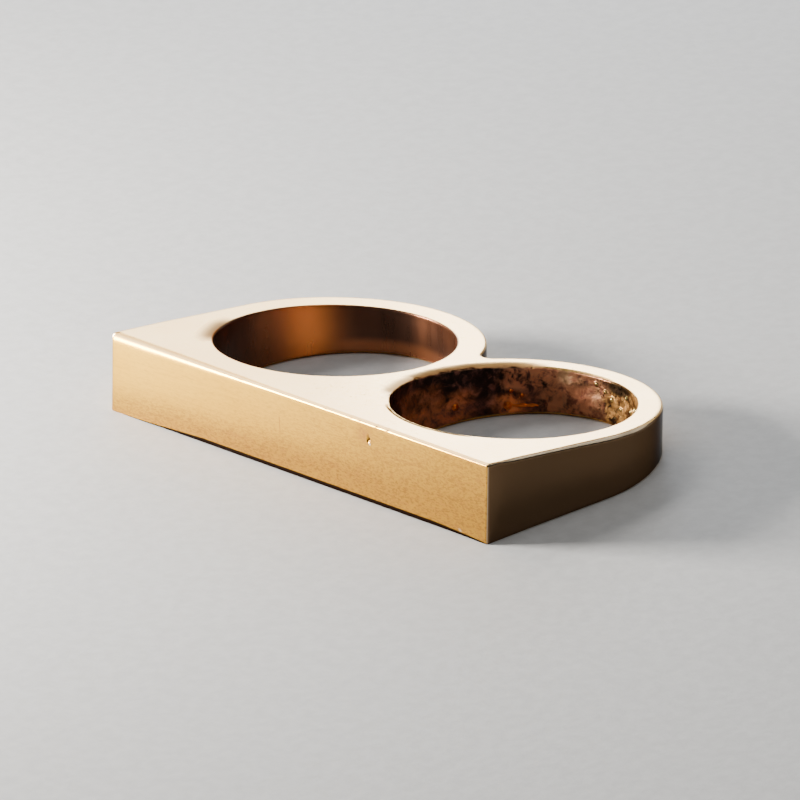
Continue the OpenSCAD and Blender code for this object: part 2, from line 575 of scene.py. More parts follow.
# The cast skin on the wall of the right hole: lumps, pits and torn edges
lump = (
    0.055 * noise(V, 2.1, 4) + 0.040 * noise(V, 0.95, 5) + 0.026 * noise(V, 0.45, 6)
)
torn = np.clip(np.abs(noise(V, 0.7, 7)) * 1.6 - 0.5, 0, 1)
depth = 0.06 + lump + 0.02 * torn
rough_here = 0.45 + 0.55 * band(turn(ang2, 120), -90, 95, 25)
near_rim = ease((HIGH - 0.05 - z) / 0.5)
push2 = depth * in2 * rough_here * (0.25 + 0.75 * near_rim)
# Beads of metal in that skin: angle round the hole, height and half width
LOW_BEADS = (
    (140.6, 2.84, 0.40),
    (166.2, 2.94, 0.34),
    (134.0, 3.60, 0.20),
    (139.2, 3.90, 0.20),
)
BRIGHT_BEADS = (
    (96.0, 5.21, 0.24),
    (85.2, 4.45, 0.30),
    (60.9, 4.68, 0.30),
    (66.0, 4.35, 0.26),
    (72.5, 5.10, 0.22),
    (55.0, 4.95, 0.24),
    (78.0, 4.00, 0.22),
    (90.0, 4.85, 0.20),
)


def bead_place(a, h):
    c = math.radians(a)
    return (RIGHT_C[0] + HOLE * math.cos(c), RIGHT_C[1] + HOLE * math.sin(c), h)


for a, h, size in LOW_BEADS + BRIGHT_BEADS:
    d = np.linalg.norm(V - np.array(bead_place(a, h)), axis=1)
    push2 = push2 - 0.32 * size * in2 * ease(1 - d / size)
# The left hole is filed smooth, with faint tool marks round it
push1 = in1 * (0.012 + 0.004 * noise(V * [1, 1, 0.35], 6.0, 8))
# Slow waves from filing on the outer faces
outer_push = np.where(
    K["part"] == 0,
    0.012 + 0.008 * noise(V * [0.5, 1, 1], 3.1, 9) + 0.003 * noise(V, 1.1, 10),
    0,
)
outer_push *= ease((HIGH - 0.05 - z) / 0.6) * ease((z - up) / 0.6)
push = outer_push + push1
# Casting pit and small dents on the front bar
for px, pz, size, deep in (
    (7.74, 4.56, 0.13, 0.15),
    (17.49, 0.34, 0.10, 0.03),
    (-1.73, 3.3, 0.06, 0.010),
    (-14.66, 2.97, 0.30, 0.006),
    (-9.95, 2.47, 0.35, 0.006),
    (-4.43, 3.29, 0.25, 0.005),
):
    d = np.hypot(x - px, z - pz) / size
    push = push + front * deep * (
        np.exp(-(d**2)) - 0.10 * np.exp(-(((d - 1.7) / 0.45) ** 2))
    )
for px, size, deep in (
    (3.26, 0.16, 0.012),
    (6.02, 0.18, 0.016),
    (6.87, 0.14, 0.012),
    (8.67, 0.18, 0.020),
    (9.83, 0.15, 0.014),
    (-5.97, 0.25, 0.018),
):
    d = ((x - px) / size) ** 2 + ((z - HIGH + 0.12) / 0.14) ** 2 + (y / 0.3) ** 2
    push = push + np.where(K["part"] == 0, deep * np.exp(-d), 0)
# A nick in the rim of the right hole
for a, zz, size, deep in ((-141, HIGH - 0.05, 0.16, 0.10), (-160, HIGH, 0.1, 0.04)):
    c = math.radians(a)
    q = np.array([RIGHT_C[0] + HOLE * math.cos(c), RIGHT_C[1] + HOLE * math.sin(c), zz])
    d = np.linalg.norm((V - q) / [1, 1, 1.4], axis=1) / size
    push = push + np.where(K["part"] == 2, deep * np.exp(-(d**2)), 0)
V = V - NORMAL * (push + push2)[:, None]
V[:, 2] = np.maximum(V[:, 2], V[:, 1] * TB + 0.004)

# ------------------------------------------------------------ masks for the look
rag = 0.5 * noise(V, 1.3, 11) + 0.35 * noise(V, 0.5, 12) + 0.2 * noise(V, 0.28, 13)
skin_top = (
    0.05
    + 0.03 * rag
    + (0.04 + 0.46 * rag) * band(turn(ang2, 152), -38, 34, 12)
    - (0.07 + 0.06 * rag) * band(turn(ang2, 70), -55, 46, 10)
)
skin = in2 * ease((HIGH - skin_top - z) / 0.12 + 0.5)
tan_patch = band(turn(ang2, 105 + 6 * rag), -12, 13, 8) * band(z, 2.7, 5.9, 0.7) * in2
dim = in2 * band(turn(ang2, 82 + 6 * rag), -12, 14, 8) * band(z, 5.10, 6.0, 0.35)
gloom = in2 * band(turn(ang2, 172 + 6 * rag), -30, 16, 14) * band(z, 3.6, 6.0, 0.8)
spark = band(turn(ang2, 72 + 8 * rag), -24, 24, 10) * in2
# Painted glow of reflected warm light on the left hole's wall
glow = in1 * np.exp(-((turn(ang1, 151) / 11.5) ** 2))
glow = glow + in1 * 0.10 * np.exp(-((turn(ang1, 174) / 10.0) ** 2))
warm = in1 * (
    0.27 * np.exp(-((turn(ang1, 62) / 22.0) ** 2))
    + 0.18 * np.exp(-((turn(ang1, 92) / 6.0) ** 2))
)
warm = warm + in1 * 0.42 * band(z - up, 0.0, 0.7, 0.7) * band(
    turn(ang1, 96), -60, 34, 16
)
red = in2 * band(turn(ang2, 134 + 5 * rag), -12, 6, 7) * band(z, 4.3, 5.9, 0.6)
red2 = in2 * band(turn(ang2, 111 + 5 * rag), -9, 10, 7) * band(z - up, 0.1, 1.9, 0.7)
red = np.maximum(red, 0.9 * red2)


def spots(places):
    """Soft spots on the right hole's wall: angle, height, half widths and strength."""
    total = 0
    for a, h, along, tall, k in places:
        u = turn(ang2, a) * math.pi / 180 * HOLE
        total = total + k * np.exp(-((u / along) ** 2) - ((z - h) / tall) ** 2)
    return in2 * np.minimum(total, 1)


blot = spots(
    (
        (105.1, 5.05, 0.38, 0.30, 1.0),
        (91.0, 5.45, 0.60, 0.22, 0.8),
        (78.5, 5.25, 0.75, 0.33, 0.9),
        (137.0, 3.9, 1.30, 0.55, 0.6),
        (149.0, 4.9, 1.50, 0.80, 0.6),
        (147.0, 5.35, 1.00, 0.55, 0.95),
        (-147.0, 5.2, 1.30, 0.90, 1.0),
        (124.0, 4.60, 0.55, 0.70, 0.9),
        (68.0, 4.05, 0.35, 0.25, 0.7),
    )
)
tan_top = spots(
    (
        (113.0, 5.20, 0.50, 0.50, 1.0),
        (98.0, 4.20, 0.55, 0.30, 0.45),
        (115.5, 3.45, 0.55, 0.50, 0.9),
    )
)
red_low = spots(((105.0, 3.95, 0.75, 0.62, 1.0), (115.5, 3.70, 0.60, 0.55, 0.8)))
# Painted orange glow above the low beads, with red-brown skin further round the hole
painted_glow_and_red_skin = in2 * np.exp(-((turn(ang2, 139) / 6.5) ** 2)) * band(z - up, 0.2, 1.3, 0.6)
painted_glow_and_red_skin = np.maximum(
    painted_glow_and_red_skin, 0.42 * in2 * band(turn(ang2, -178), -18, 14, 12) * band(z - up, 0.3, 1.9, 0.9)
)
painted_glow_and_red_skin = np.maximum(
    painted_glow_and_red_skin, 0.26 * in2 * band(turn(ang2, -168), -14, 7, 7) * band(z, 3.3, 4.6, 0.5)
)
d = np.hypot(x - 7.74, z - 4.56)
e1, e2 = rad1 - HOLE, rad2 - HOLE
is_top = ease((NORMAL[:, 2] - 0.5) / 0.3)
# Painted shade where the right hole's rim rolls in
roll = band(turn(ang2, 163 + 5 * rag), -30, 22, 14) * ease(
    1 - (e2 - 0.02 - 0.22 * rag) / 1.00
)
weaker = band(turn(ang2, -163 + 4 * rag), -12, 15, 9) * ease(
    1 - (e2 - 0.02 - 0.22 * rag) / 1.20
)
roll = np.maximum(roll, 0.55 * weaker)
roll = np.where(K["part"] == 1, 0, roll) * ease((z - HIGH + 1.0) / 0.3)
stain = band(turn(ang2, 158 + 9 * rag), -34, 30, 9) * ease(
    1 - (e2 - 0.10 - 0.42 * rag) / 0.20
)
rim = band(turn(ang2, 68), -56, 50, 10) * ease(1 - (e2 - 0.03 - 0.10 * rag) / 0.08)
stain = np.maximum(stain, rim * ease((z - HIGH + 0.25) / 0.15))
stain = np.where(K["part"] == 1, 0, stain) * ease((z - HIGH + 1.0) / 0.3)
# Painted shadow along the foot of the front, up to the height held in gap
foot_shadow = np.where(K["part"] == 0, 1, 0) * ease((1.6 - z) / 0.6)
foot_shadow = foot_shadow * band(x, -18.5, 19.8, 1.5) * ease((1.6 - y) / 0.5)
gap = 0.38 * np.clip((x + 19.0) / 9.0, 0, 1) * np.clip((20.6 - x) / 6.0, 0, 1) ** 0.5
shade = is_top * band(turn(ang1, -146), -8, 8, 14) * ease(1 - (e1 - 0.1) / 1.4)
# Painted reflection: dark lines on the right hole's front-left rim and bevel
rim_dark_reflection = np.maximum(
    band(turn(ang2, -92), -26, 22, 10) * band(e2, -0.06, 0.11, 0.05),
    band(turn(ang2, -96), -22, 28, 9)
    * np.clip(0.85 + 0.7 * rag, 0, 1)
    * band(e2 + 0.06 * rag, 0.23, 0.37, 0.06),
)
rim_dark_reflection = rim_dark_reflection * band(z, HIGH - 0.20, HIGH, 0.05)
pores = is_top * band(x, -2.4, 3.0, 2.4) * band(y, 2.9 + 0.03 * x, 4.1, 1.5)
# Worn edges, paler, together with a painted highlight along the front's rounded edges
edge_wear_and_highlight = np.where(
    (K["part"] == 0) & (NORMAL[:, 2] > -0.3),
    ease(1.7 - 1.75 * np.abs(NORMAL).max(1)) * ease((HIGH + 0.3 - z) / 0.2),
    0,
)
edge_wear_and_highlight = edge_wear_and_highlight * ease((np.where(x > 0, 17.0, 6.0) - y) / 3.0)
soft_edge = np.where(K["part"] == 0, ease((0.985 - NORMAL[:, 2]) / 0.06), 0) * ease(
    (NORMAL[:, 2] - 0.06) / 0.10
)
soft_edge = soft_edge * ease((-NORMAL[:, 1] - 0.05) / 0.10) * ease((6 - x) / 26)
soft_edge = soft_edge * ease((z - HIGH + 1.0) / 0.3)
# Painted shade: the right side of the bar is darkened
side = np.where(K["part"] == 0, ease((NORMAL[:, 0] - 0.42) / 0.35), 0) * ease(
    (23.0 - y) / 5.0
)
# Painted reflection: the warm interior seen in the left hole's front rim
left_rim_reflection = band(turn(ang1, -98), -44, 26, 14) * band(e1, -0.03, 0.13, 0.05)
left_rim_reflection = left_rim_reflection * band(z, HIGH - 0.2, HIGH, 0.06) * np.where(K["part"] == 1, 1, 0)
# Painted shade inside the casting pit
pit = front * (1 - ease((d - 0.07) / 0.07))
# Painted highlights: the bright lip of the pit and a glint on a dent near the foot
painted_glints = front * (1 - ease((np.hypot((x - 7.88) * 0.8, z - 4.28) - 0.04) / 0.06))
painted_glints = painted_glints + front * (1 - ease((np.hypot(x - 17.49, (z - 0.34)) - 0.02) / 0.06))

mesh = bpy.data.meshes.new("ring_metal")
faces = np.concatenate([q for q in quads])
tri = np.concatenate(tris)
loops = np.concatenate([faces.reshape(-1), tri.reshape(-1)])
starts = np.concatenate(
    [np.arange(len(faces)) * 4, len(faces) * 4 + np.arange(len(tri)) * 3]
)
totals = np.concatenate([np.full(len(faces), 4), np.full(len(tri), 3)])
mesh.vertices.add(len(V))
mesh.vertices.foreach_set("co", to_world(V).astype(np.float32).ravel())
mesh.loops.add(len(loops))
mesh.loops.foreach_set("vertex_index", loops.astype(np.int32))
mesh.polygons.add(len(starts))
mesh.polygons.foreach_set("loop_start", starts.astype(np.int32))
mesh.polygons.foreach_set("loop_total", totals.astype(np.int32))
mesh.polygons.foreach_set("use_smooth", np.ones(len(starts), dtype=bool))
mesh.update(calc_edges=True)
mesh.validate(verbose=False)
at = mesh.attributes.new("loc", "FLOAT_VECTOR", "POINT")
at.data.foreach_set("vector", V.astype(np.float32).ravel())
for name, values in (
    ("across", x / HALF_BAR),
    ("height", (z - 2.9) / 2.9),
    ("wall_left", in1),
    ("wall_right", in2),
    ("front", front),
    ("skin", skin),
    ("tan_patch", tan_patch),
    ("spark", spark),
    ("glow", glow),
    ("warm", warm),
    ("red", red),
    ("painted_glow_and_red_skin", painted_glow_and_red_skin),
    ("pit", pit),
    ("painted_glints", painted_glints),
    ("gloom", gloom),
    ("foot_shadow", foot_shadow),
    ("gap", gap),
    ("soft_edge", soft_edge),
    ("roll", roll),
    ("stain", stain),
    ("shade", shade),
    ("rim_dark_reflection", rim_dark_reflection),
    ("pores", pores),
    ("edge_wear_and_highlight", edge_wear_and_highlight),
    ("flat_top", is_top),
    ("side", side),
    ("left_rim_warm_reflection", left_rim_reflection),
    ("dim", dim),
    ("blot", blot),
    ("tan_top", tan_top),
    ("red_low", red_low),
):
    at = mesh.attributes.new(name, "FLOAT", "POINT")
    at.data.foreach_set("value", np.asarray(values, np.float32))
ring = bpy.data.objects.new("ring", mesh)
bpy.context.scene.collection.objects.link(ring)
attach(ring, "root")
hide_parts("two_finger_ring")
print("ring: vertices", len(V), "triangles", len(faces) * 2 + len(tri))


# -------------------------------------------------------------------- materials
class Graph:
    def __init__(self, name):
        self.mat = bpy.data.materials.new(name)
        self.mat.use_nodes = True
        self.tree = self.mat.node_tree
        self.tree.nodes.clear()
        self.out = self.tree.nodes.new("ShaderNodeOutputMaterial")
        self.bsdf = self.tree.nodes.new("ShaderNodeBsdfPrincipled")
        self.tree.links.new(self.bsdf.outputs[0], self.out.inputs[0])

    def put(self, socket, v):
        if isinstance(v, bpy.types.NodeSocket):
            self.tree.links.new(v, socket)
        elif isinstance(v, (tuple, list)) and socket.type == "RGBA" and len(v) == 3:
            socket.default_value = (*v, 1)
        else:
            socket.default_value = v

    def attr(self, name, vector=False):
        n = self.tree.nodes.new("ShaderNodeAttribute")
        n.attribute_name = name
        return n.outputs["Vector" if vector else "Fac"]

    def scaled(self, v, s):
        n = self.tree.nodes.new("ShaderNodeVectorMath")
        n.operation = "MULTIPLY"
        self.put(n.inputs[0], v)
        n.inputs[1].default_value = s
        return n.outputs[0]

    def noise(self, v, scale, detail=3, rough=0.5, warp=0.0):
        n = self.tree.nodes.new("ShaderNodeTexNoise")
        self.put(n.inputs["Vector"], v)
        n.inputs["Scale"].default_value = scale
        n.inputs["Detail"].default_value = detail
        n.inputs["Roughness"].default_value = rough
        n.inputs["Distortion"].default_value = warp
        return n.outputs["Fac"]

    def voronoi(self, v, scale, kind="F1"):
        n = self.tree.nodes.new("ShaderNodeTexVoronoi")
        n.feature = kind
        self.put(n.inputs["Vector"], v)
        n.inputs["Scale"].default_value = scale
        return n.outputs["Distance"]

    def math(self, op, a, b=None, c=None, clamp=False):
        n = self.tree.nodes.new("ShaderNodeMath")
        n.operation = op
        n.use_clamp = clamp
        self.put(n.inputs[0], a)
        if b is not None:
            self.put(n.inputs[1], b)
        if c is not None:
            self.put(n.inputs[2], c)
        return n.outputs[0]

    def span(self, v, lo, hi, a=0.0, b=1.0):
        n = self.tree.nodes.new("ShaderNodeMapRange")
        n.interpolation_type = "SMOOTHSTEP"
        self.put(n.inputs[0], v)
        for i, q in enumerate((lo, hi, a, b)):
            self.put(n.inputs[i + 1], q)
        return n.outputs[0]

    def mix(self, k, a, b):
        n = self.tree.nodes.new("ShaderNodeMix")
        n.data_type = "RGBA"
        self.put(n.inputs[0], k)
        self.put(n.inputs[6], a)
        self.put(n.inputs[7], b)
        return n.outputs[2]

    def blend(self, k, a, b):
        n = self.tree.nodes.new("ShaderNodeMix")
        n.data_type = "FLOAT"
        self.put(n.inputs[0], k)
        self.put(n.inputs[2], a)
        self.put(n.inputs[3], b)
        return n.outputs[0]

    def bead(self, v, place, size):
        n = self.tree.nodes.new("ShaderNodeVectorMath")
        n.operation = "DISTANCE"
        self.put(n.inputs[0], v)
        n.inputs[1].default_value = place
        return self.span(n.outputs["Value"], size, 0.0)

    def bump(self, height, strength, distance, under=None):
        n = self.tree.nodes.new("ShaderNodeBump")
        n.inputs["Strength"].default_value = strength
        n.inputs["Distance"].default_value = distance
        self.put(n.inputs["Height"], height)
        if under is not None:
            self.put(n.inputs["Normal"], under)
        return n.outputs[0]


g = Graph("finished_bronze")
loc = g.attr("loc", True)
wl, wr, fr, sk = (g.attr(n) for n in ("wall_left", "wall_right", "front", "skin"))
tanp, spk, glw, rd = (g.attr(n) for n in ("tan_patch", "spark", "glow", "red"))
# Polished outside: brushing along the bar, with slow changes of tone
streak = g.noise(g.scaled(loc, (0.38, 6.5, 6.5)), 1.0, 5, 0.66, 0.3)
fine = g.noise(g.scaled(loc, (1.2, 15.0, 15.0)), 1.0, 3, 0.6)
cloud = g.noise(loc, 0.16, 3, 0.55)
gold = g.mix(g.span(cloud, 0.3, 0.7), (0.92, 0.515, 0.135), (0.94, 0.560, 0.165))
face = g.mix(g.span(cloud, 0.3, 0.7), (0.86, 0.460, 0.034), (0.90, 0.495, 0.045))
gold = g.mix(fr, gold, face)
# Painted shade darkens the front low down and to the right; the tarnish in the brushing grows
# there too
low = g.span(g.attr("height"), 0.1, -0.9, 0.0, 0.92)
painted_shade_low_right = g.span(
    g.math(
        "ADD",
        low,
        g.math("SUBTRACT", g.attr("across"), g.math("MULTIPLY", g.attr("height"), 0.5)),
    ),
    -1.1,
    1.2,
    0.0,
    1.0,
)
gold = g.mix(
    g.math("MULTIPLY", g.math("MULTIPLY", painted_shade_low_right, fr), 0.85), gold, (0.42, 0.208, 0.026)
)
more = g.span(painted_shade_low_right, 0.0, 1.0, 0.35, 1.0)
dark_streak = g.math("MULTIPLY", g.span(streak, 0.48, 0.70), more)
gold = g.mix(
    g.math("MULTIPLY", g.math("MULTIPLY", dark_streak, fr), 0.60), gold, (0.45, 0.20, 0.035)
)
mottle = g.noise(g.scaled(loc, (1.9, 6.0, 6.0)), 1.0, 4, 0.70, 0.25)
speckled = g.math("MULTIPLY", g.span(mottle, 0.48, 0.66), more)
grit = g.noise(g.scaled(loc, (3.6, 9.5, 9.5)), 1.0, 3, 0.6, 0.3)
gritty = g.math("MULTIPLY", g.math("MULTIPLY", painted_shade_low_right, fr), g.span(grit, 0.45, 0.62))
gold = g.mix(g.math("MULTIPLY", gritty, 0.62), gold, (0.22, 0.095, 0.025))
gold = g.mix(
    g.math("MULTIPLY", g.math("MULTIPLY", speckled, fr), 0.55), gold, (0.36, 0.16, 0.035)
)
# Painted shade on the right side of the bar
gold = g.mix(g.math("MULTIPLY", g.attr("side"), 0.92), gold, (0.082, 0.050, 0.038))
xyz = g.tree.nodes.new("ShaderNodeSeparateXYZ")
g.put(xyz.inputs[0], loc)
stains = g.span(g.noise(loc, 4.2, 3, 0.6), 0.34, 0.60, 0.30, 1.0)
halo = g.math("MULTIPLY", g.bead(loc, (7.2, 0.0, 4.9), 1.2), stains)
gold = g.mix(g.math("MULTIPLY", halo, 0.75), gold, (0.40, 0.165, 0.045))
# A faint scratch up the front
lean = g.math("MULTIPLY_ADD", xyz.outputs[2], -0.10, -1.73 + 0.36)
scratch = g.span(
    g.math("ABSOLUTE", g.math("SUBTRACT", xyz.outputs[0], lean)), 0.11, 0.03
)
scratch = g.math(
    "MULTIPLY",
    g.math("MULTIPLY", scratch, fr),
    g.span(g.math("ABSOLUTE", g.math("SUBTRACT", xyz.outputs[2], 3.45)), 0.75, 0.30),
)
gold = g.mix(g.math("MULTIPLY", scratch, 0.55), gold, (0.40, 0.17, 0.035))
# Painted shade inside the casting pit
gold = g.mix(g.attr("pit"), gold, (0.035, 0.018, 0.010))
# Painted highlights on the pit's lip and a dent
gold = g.mix(g.attr("painted_glints"), gold, (1.0, 0.86, 0.62))
# Worn edges and a painted highlight along the front's rounded edges
gold = g.mix(g.math("MULTIPLY", g.attr("edge_wear_and_highlight"), 0.8), gold, (1.0, 0.86, 0.62))
gold = g.mix(g.math("MULTIPLY", g.attr("shade"), 0.80), gold, (0.26, 0.165, 0.110))
pore = g.noise(g.scaled(loc, (4.5, 6.2, 4.5)), 1.0, 2, 0.5)
pore_mask = g.math("MULTIPLY", g.attr("pores"), g.span(pore, 0.61, 0.72))
pore_spots = g.noise(g.scaled(loc, (1.1, 1.3, 1.1)), 1.0, 1, 0.5)
pore_mask = g.math("MULTIPLY", pore_mask, g.math("MULTIPLY", g.span(pore_spots, 0.40, 0.62), 0.55))
gold = g.mix(g.math("MULTIPLY", pore_mask, 0.85), gold, (0.10, 0.060, 0.040))
# Painted shade where the right hole's rim rolls in
gold = g.mix(g.attr("roll"), gold, (0.36, 0.195, 0.105))
stained = g.math("MULTIPLY", g.attr("stain"), g.span(g.noise(loc, 2.2, 4, 0.6), 0.36, 0.56))
gold = g.mix(stained, gold, (0.028, 0.014, 0.009))
# Painted shadow: the dark line along the foot of the front
above = g.math("SUBTRACT", xyz.outputs[2], g.attr("gap"))
foot_shadow_line = g.math("MULTIPLY", g.attr("foot_shadow"), g.span(above, 0.04, -0.04))
gold = g.mix(foot_shadow_line, gold, (0.014, 0.009, 0.007))
# Painted dark reflection on the right hole's front-left rim
gold = g.mix(g.math("MULTIPLY", g.attr("rim_dark_reflection"), 0.90), gold, (0.050, 0.043, 0.038))
# Painted reflection of the warm interior on the left hole's front rim
gold = g.mix(g.math("MULTIPLY", g.attr("left_rim_warm_reflection"), 0.85), gold, (0.50, 0.15, 0.045))
# Left hole: warmer and duller; its dark copper tone is partly patina and partly painted shade of
# the hollow, with a painted glow of reflected warm light
marks1 = g.noise(g.scaled(loc, (0.8, 0.8, 0.22)), 1.0, 3, 0.5, 0.2)
copper = g.mix(g.span(marks1, 0.3, 0.7), (0.105, 0.050, 0.032), (0.135, 0.062, 0.038))
copper = g.mix(g.attr("warm"), copper, (0.85, 0.30, 0.12))
copper = g.mix(glw, copper, (1.0, 0.320, 0.085))
# Right hole: the dark skin of the casting, broken by warmer metal
m1 = g.noise(loc, 0.42, 5, 0.62, 0.6)
m2 = g.noise(loc, 1.15, 5, 0.68, 0.5)
m3 = g.noise(loc, 4.6, 3, 0.6)
m4 = g.noise(loc, 9.0, 2, 0.6)
m5 = g.noise(loc, 2.3, 4, 0.62, 0.3)
scale_dark = g.mix(g.span(m1, 0.40, 0.60), (0.036, 0.022, 0.019), (0.190, 0.074, 0.055))
scale_dark = g.mix(g.span(m2, 0.54, 0.72), scale_dark, (0.40, 0.158, 0.105))
scale_dark = g.mix(g.span(m4, 0.44, 0.32), scale_dark, (0.030, 0.020, 0.018))
gloomy = g.mix(g.span(m2, 0.46, 0.70), (0.022, 0.015, 0.013), (0.19, 0.080, 0.062))
scale_dark = g.mix(g.math("MULTIPLY", g.attr("gloom"), 0.92), scale_dark, gloomy)
scale_tan = g.mix(g.span(m2, 0.36, 0.58), (0.17, 0.055, 0.032), (0.30, 0.140, 0.066))
scale_tan = g.mix(g.span(m5, 0.47, 0.32), scale_tan, (0.10, 0.042, 0.030))
m6 = g.noise(loc, 1.35, 3, 0.55, 0.2)
scale_green = g.mix(g.span(m6, 0.36, 0.62), (0.060, 0.024, 0.010), (0.46, 0.230, 0.072))
scale_green = g.mix(g.span(m2, 0.46, 0.37), scale_green, (0.020, 0.012, 0.008))
scale_green = g.mix(g.span(m3, 0.62, 0.68), scale_green, (0.95, 0.74, 0.34))
scale_green = g.mix(g.math("MULTIPLY", g.attr("dim"), 0.97), scale_green, (0.022, 0.014, 0.008))
cast = g.mix(spk, scale_dark, scale_green)
cast = g.mix(tanp, cast, scale_tan)
cast = g.mix(
    g.math("MULTIPLY", g.attr("red_low"), g.span(m2, 0.34, 0.56)), cast, (0.34, 0.105, 0.062)
)
cast = g.mix(
    g.math("MULTIPLY", g.attr("tan_top"), g.span(m2, 0.24, 0.50)), cast, (0.55, 0.31, 0.160)
)
cast = g.mix(
    g.math("MULTIPLY", g.attr("blot"), g.span(m5, 0.66, 0.42)), cast, (0.022, 0.013, 0.010)
)
cast = g.mix(g.math("MULTIPLY", rd, g.span(m2, 0.38, 0.56)), cast, (0.56, 0.215, 0.105))
# Painted orange glow above the low beads, and red-brown skin
cast = g.mix(
    g.math("MULTIPLY", g.attr("painted_glow_and_red_skin"), g.span(m2, 0.30, 0.60)), cast, (0.95, 0.30, 0.100)
)
# The beads catch the light
def beads(places):
    total = None
    for a, h, size in places:
        one = g.bead(loc, bead_place(a, h), size)
        total = one if total is None else g.math("MAXIMUM", total, one)
    return total


px_, py_ = (g.math("SUBTRACT", xyz.outputs[i], RIGHT_C[i]) for i in (0, 1))
arc_len = g.math("MULTIPLY", g.math("ARCTAN2", py_, px_), HOLE)
wave = g.noise(loc, 1.9, 2, 0.5)


def weld(angle, length, height, half):
    """A low ridge along the wall, of uneven height."""
    along = g.math("ABSOLUTE", g.math("SUBTRACT", arc_len, math.radians(angle) * HOLE))
    rise = g.math("MULTIPLY_ADD", wave, 0.35, height - 0.175)
    across = g.math("ABSOLUTE", g.math("SUBTRACT", xyz.outputs[2], rise))
    return g.math(
        "MULTIPLY", g.span(along, length + 0.25, length - 0.2), g.span(across, half, 0.0)
    )


low_beads = beads(LOW_BEADS)
seam = g.math("MAXIMUM", weld(135.2, 0.50, 2.88, 0.17), weld(129.3, 0.34, 2.90, 0.13))
bright_beads = beads(BRIGHT_BEADS)
cast = g.mix(
    g.span(g.math("MAXIMUM", low_beads, seam), 0.02, 0.30), cast, (1.0, 0.24, 0.04)
)
cast = g.mix(bright_beads, cast, (1.0, 0.76, 0.26))
colour = g.mix(wl, gold, copper)
colour = g.mix(sk, colour, cast)
g.put(g.bsdf.inputs["Base Color"], colour)
g.bsdf.inputs["Metallic"].default_value = 1.0
# Roughness: satin top, closer polish on the front, dull skin
top_r = g.span(g.noise(g.scaled(loc, (2.5, 2.5, 1)), 1.0, 4, 0.6), 0.3, 0.7, 0.25, 0.275)
top_r = g.blend(g.attr("flat_top"), 0.20, top_r)
front_r = g.span(streak, 0.3, 0.7, 0.11, 0.21)
dull = g.math("MAXIMUM", g.attr("roll"), g.attr("rim_dark_reflection"))
dull = g.math("MAXIMUM", dull, g.math("MAXIMUM", stained, pore_mask))
dull = g.math("MAXIMUM", dull, g.math("MULTIPLY", g.attr("shade"), 0.75))
dull = g.math("MAXIMUM", dull, g.math("MULTIPLY", g.attr("left_rim_warm_reflection"), 0.7))
dull = g.math("MAXIMUM", dull, foot_shadow_line)
top_r = g.blend(dull, top_r, 0.66)
r = g.blend(g.math("MULTIPLY", fr, g.math("SUBTRACT", 1.0, dull)), top_r, front_r)
r = g.blend(g.attr("soft_edge"), r, 0.40)
r = g.blend(wl, r, g.span(marks1, 0.3, 0.7, 0.27, 0.30))
skin_r = g.span(m2, 0.35, 0.65, 0.60, 0.36)
skin_r = g.blend(spk, skin_r, g.span(m3, 0.54, 0.68, 0.46, 0.20))
bead = g.math("MAXIMUM", low_beads, bright_beads)
bead = g.math("MAXIMUM", bead, g.math("MULTIPLY", seam, 0.56))
skin_r = g.blend(g.span(bead, 0.02, 0.30), skin_r, 0.30)
r = g.blend(sk, r, skin_r)
g.put(g.bsdf.inputs["Roughness"], r)
tint = g.mix(dull, (1.0, 1.0, 1.0), (0.34, 0.24, 0.17))
tint = g.mix(g.attr("rim_dark_reflection"), tint, (0.27, 0.25, 0.23))
tint = g.mix(foot_shadow_line, tint, (0.05, 0.03, 0.02))
# Painted shade on the right side also dims its reflection
tint = g.mix(g.attr("side"), tint, (0.37, 0.39, 0.42))
tint = g.mix(sk, tint, (0.50, 0.32, 0.20))
g.put(g.bsdf.inputs["Specular Tint"], tint)
# Fine relief
brush = g.math("ADD", g.math("MULTIPLY", streak, 0.6), g.math("MULTIPLY", fine, 0.3))
satin = g.noise(loc, 7.0, 4, 0.6)
h = g.blend(fr, g.math("MULTIPLY", satin, 0.015), brush)
h = g.math("SUBTRACT", h, g.math("MULTIPLY", pore_mask, 0.8))
lumps = g.math("MULTIPLY_ADD", m3, 6.0, g.math("MULTIPLY", m2, 8.0))
h = g.blend(sk, h, g.math("MULTIPLY_ADD", bead, 34.0, lumps))
g.put(g.bsdf.inputs["Normal"], g.bump(h, 1.0, 0.0000035))
mesh.materials.append(g.mat)

# ------------------------------------------------------------------------ stage
bpy.ops.mesh.primitive_plane_add(size=4.0, location=(0, 0, 0))
floor = bpy.context.active_object
floor.name = "floor"
s = Graph("pale_floor")
co = s.tree.nodes.new("ShaderNodeTexCoord").outputs["Object"]
grain = s.noise(co, 900.0, 4, 0.6)
s.put(
    s.bsdf.inputs["Base Color"],
    s.mix(s.span(grain, 0.3, 0.7), (0.66, 0.645, 0.62), (0.72, 0.705, 0.68)),
)
s.bsdf.inputs["Roughness"].default_value = 0.75
s.bsdf.inputs["Specular IOR Level"].default_value = 0.3
s.put(s.bsdf.inputs["Normal"], s.bump(grain, 0.25, 0.0001))
floor.data.materials.append(s.mat)

